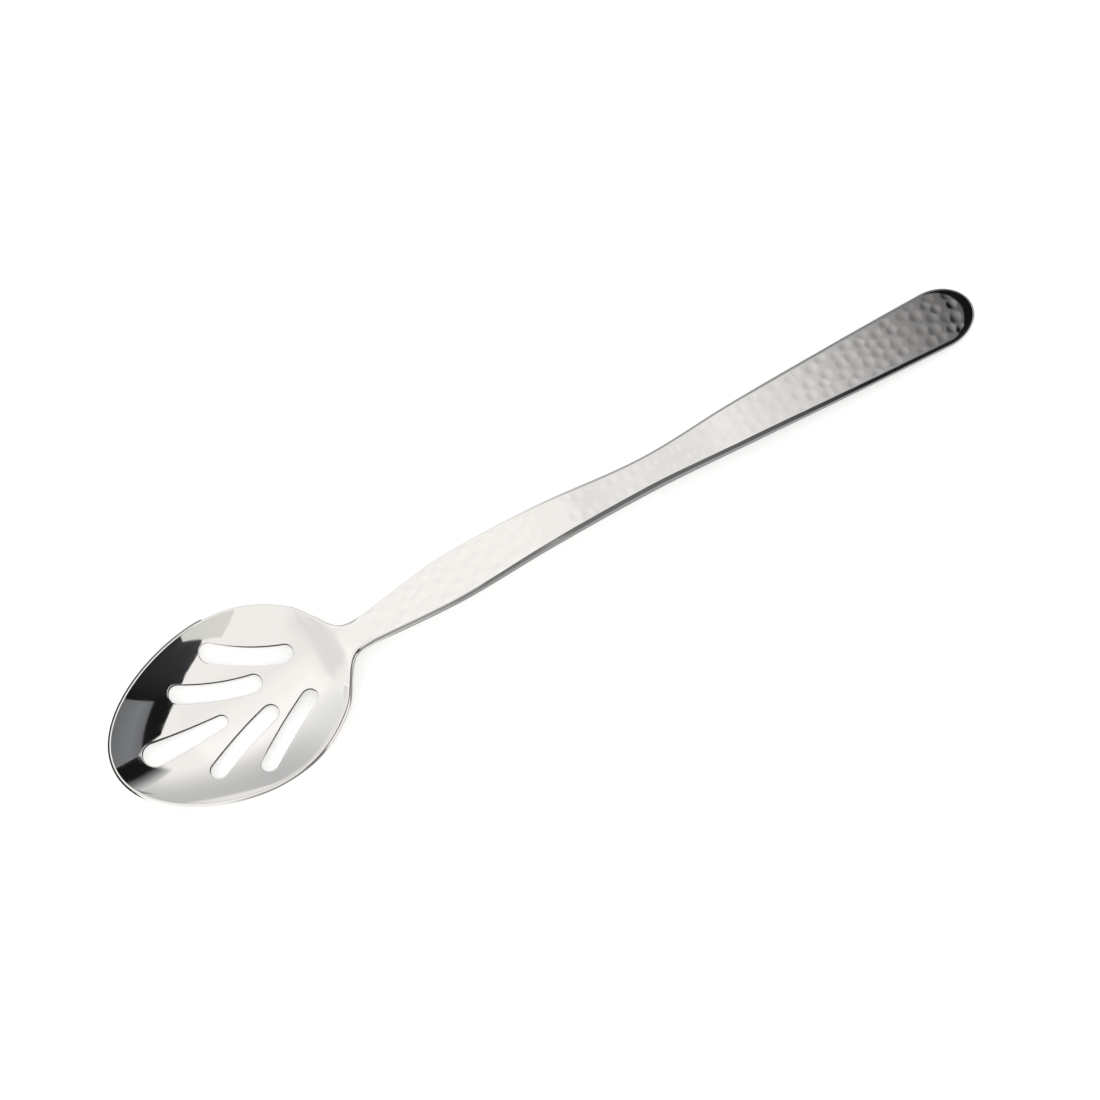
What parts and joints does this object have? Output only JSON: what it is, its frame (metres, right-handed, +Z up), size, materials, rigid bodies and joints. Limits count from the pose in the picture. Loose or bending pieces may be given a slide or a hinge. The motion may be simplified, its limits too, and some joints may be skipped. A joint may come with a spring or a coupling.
{
  "type": "slotted serving spoon",
  "caption": "Long slotted serving spoon: pressed oval bowl with fanned drain slots, welded to an arched hollow handle with a hammered top face.",
  "frame": {"origin": "on the table, under the middle of the spoon's length and width", "axes": "+X from the bowl tip to the handle end, +Z up out of the open bowl, Y across the bowl"},
  "size_m": [0.3399, 0.065, 0.0246],
  "materials": {
    "polished_steel": "polished",
    "hammered_steel": "polished"
  },
  "bodies": {
    "root": {"slotted_bowl": "polished_steel", "handle_top_shell": "hammered_steel", "handle_bottom_shell": "polished_steel"}
  },
  "joints": []
}
